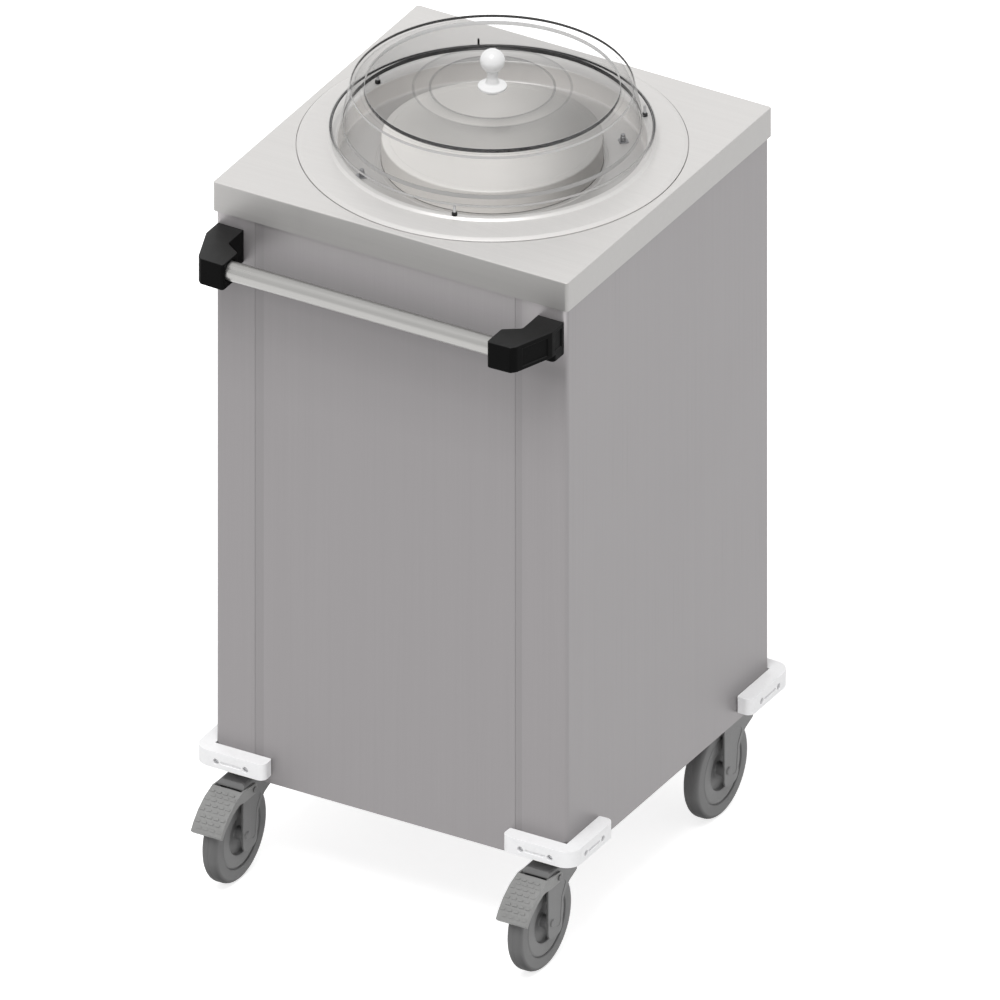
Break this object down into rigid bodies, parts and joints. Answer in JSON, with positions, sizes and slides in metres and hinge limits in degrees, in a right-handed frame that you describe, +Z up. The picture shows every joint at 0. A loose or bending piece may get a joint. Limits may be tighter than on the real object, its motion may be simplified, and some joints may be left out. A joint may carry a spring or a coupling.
{
  "type": "plate dispenser cart",
  "caption": "Square steel cart with a push bar and swivel casters, holding a round chute whose sprung platform lifts plates to a clear dome cover.",
  "frame": {"origin": "on the floor, under the middle of the cabinet and on the chute's axis", "axes": "+Z up, +X to the right and +Y towards the back for a person who stands at the push bar and faces the cart"},
  "size_m": [0.52, 0.5859, 1.066],
  "materials": {
    "worktop_steel": "fine satin brushed",
    "cabinet_steel": "fine satin brushed",
    "chute_steel": "plain mill finish",
    "platform_enamel": "smooth satin",
    "stud_black": "moulded matte",
    "bush_white": "turned nylon",
    "spring_steel": "drawn wire",
    "fastener_steel": "zinc plated",
    "bumper_white": "moulded satin",
    "handle_metal": "satin anodised",
    "bracket_black": "moulded fine texture",
    "caster_grey": "moulded satin",
    "tyre_grey": "soft grey tread",
    "pedal_grey": "moulded fine texture",
    "clear_cover": "clear moulded plastic",
    "knob_white": "polished"
  },
  "bodies": {
    "root": {"back_panel": "cabinet_steel", "base_plate": "cabinet_steel", "bumper_front_left": "bumper_white", "bumper_front_right": "bumper_white", "bumper_rear_left": "bumper_white", "bumper_rear_right": "bumper_white", "bumper_screws": "fastener_steel", "caster_bolts": "fastener_steel", "chute_tube": "chute_steel", "corner_post_front_left": "cabinet_steel", "corner_post_front_right": "cabinet_steel", "corner_post_rear_left": "cabinet_steel", "corner_post_rear_right": "cabinet_steel", "dispenser_flange": "worktop_steel", "dome_studs": "stud_black", "front_panel": "cabinet_steel", "guide_rod_1": "chute_steel", "guide_rod_2": "chute_steel", "guide_rod_3": "chute_steel", "handle_bracket_left": "bracket_black", "handle_bracket_right": "bracket_black", "handle_screws": "fastener_steel", "handle_tube": "handle_metal", "lower_ring": "chute_steel", "side_panel_left": "cabinet_steel", "side_panel_right": "cabinet_steel", "swivel_head_front_left": "caster_grey", "swivel_head_front_right": "caster_grey", "swivel_head_rear_left": "caster_grey", "swivel_head_rear_right": "caster_grey", "tension_springs": "spring_steel", "tube_catches": "stud_black", "worktop": "worktop_steel"},
    "lift": {"platform": "platform_enamel", "platform_carrier": "chute_steel", "carrier_bushes": "bush_white"},
    "cover": {"dome_cover": "clear_cover", "knob": "knob_white", "knob_screw": "fastener_steel"},
    "pedal_front_left": {"brake_pedal_front_left": "pedal_grey"},
    "swivel_front_left": {"fork_front_left": "caster_grey", "axle_front_left": "fastener_steel", "brake_pin_front_left": "fastener_steel"},
    "wheel_front_left": {"wheel_core_front_left": "caster_grey", "tyre_front_left": "tyre_grey"},
    "pedal_front_right": {"brake_pedal_front_right": "pedal_grey"},
    "swivel_front_right": {"fork_front_right": "caster_grey", "axle_front_right": "fastener_steel", "brake_pin_front_right": "fastener_steel"},
    "wheel_front_right": {"wheel_core_front_right": "caster_grey", "tyre_front_right": "tyre_grey"},
    "swivel_rear_left": {"fork_rear_left": "caster_grey", "axle_rear_left": "fastener_steel"},
    "wheel_rear_left": {"wheel_core_rear_left": "caster_grey", "tyre_rear_left": "tyre_grey"},
    "swivel_rear_right": {"fork_rear_right": "caster_grey", "axle_rear_right": "fastener_steel"},
    "wheel_rear_right": {"wheel_core_rear_right": "caster_grey", "tyre_rear_right": "tyre_grey"}
  },
  "joints": [
    {"name": "platform_drop", "type": "slide", "parent": "root", "child": "lift", "axis": [0, 0, -1], "range_m": [0, 0.45], "stiffness_N_per_m": 490, "springref_m": -0.1, "deforming": ["tension_springs"]},
    {"name": "cover_lift", "type": "slide", "parent": "root", "child": "cover", "axis": [0, 0, 1], "range_m": [0, 0.25]},
    {"name": "caster_swivel_front_left", "type": "hinge", "parent": "root", "child": "swivel_front_left", "pos_m": [-0.2085, -0.2085, 0.14], "axis": [0, 0, 1], "continuous": true},
    {"name": "wheel_spin_front_left", "type": "hinge", "parent": "swivel_front_left", "child": "wheel_front_left", "pos_m": [-0.2085, -0.2502, 0.0625], "axis": [1, 0, 0], "continuous": true},
    {"name": "brake_press_front_left", "type": "hinge", "parent": "swivel_front_left", "child": "pedal_front_left", "pos_m": [-0.2085, -0.2375, 0.1195], "axis": [1, 0, 0], "range_deg": [0, 4]},
    {"name": "caster_swivel_front_right", "type": "hinge", "parent": "root", "child": "swivel_front_right", "pos_m": [0.2085, -0.2085, 0.14], "axis": [0, 0, 1], "continuous": true},
    {"name": "wheel_spin_front_right", "type": "hinge", "parent": "swivel_front_right", "child": "wheel_front_right", "pos_m": [0.2085, -0.2502, 0.0625], "axis": [1, 0, 0], "continuous": true},
    {"name": "brake_press_front_right", "type": "hinge", "parent": "swivel_front_right", "child": "pedal_front_right", "pos_m": [0.2085, -0.2375, 0.1195], "axis": [1, 0, 0], "range_deg": [0, 4]},
    {"name": "caster_swivel_rear_left", "type": "hinge", "parent": "root", "child": "swivel_rear_left", "pos_m": [-0.2085, 0.2085, 0.14], "axis": [0, 0, 1], "continuous": true},
    {"name": "wheel_spin_rear_left", "type": "hinge", "parent": "swivel_rear_left", "child": "wheel_rear_left", "pos_m": [-0.2085, 0.1668, 0.0625], "axis": [1, 0, 0], "continuous": true},
    {"name": "caster_swivel_rear_right", "type": "hinge", "parent": "root", "child": "swivel_rear_right", "pos_m": [0.2085, 0.2085, 0.14], "axis": [0, 0, 1], "continuous": true},
    {"name": "wheel_spin_rear_right", "type": "hinge", "parent": "swivel_rear_right", "child": "wheel_rear_right", "pos_m": [0.2085, 0.1668, 0.0625], "axis": [1, 0, 0], "continuous": true}
  ]
}
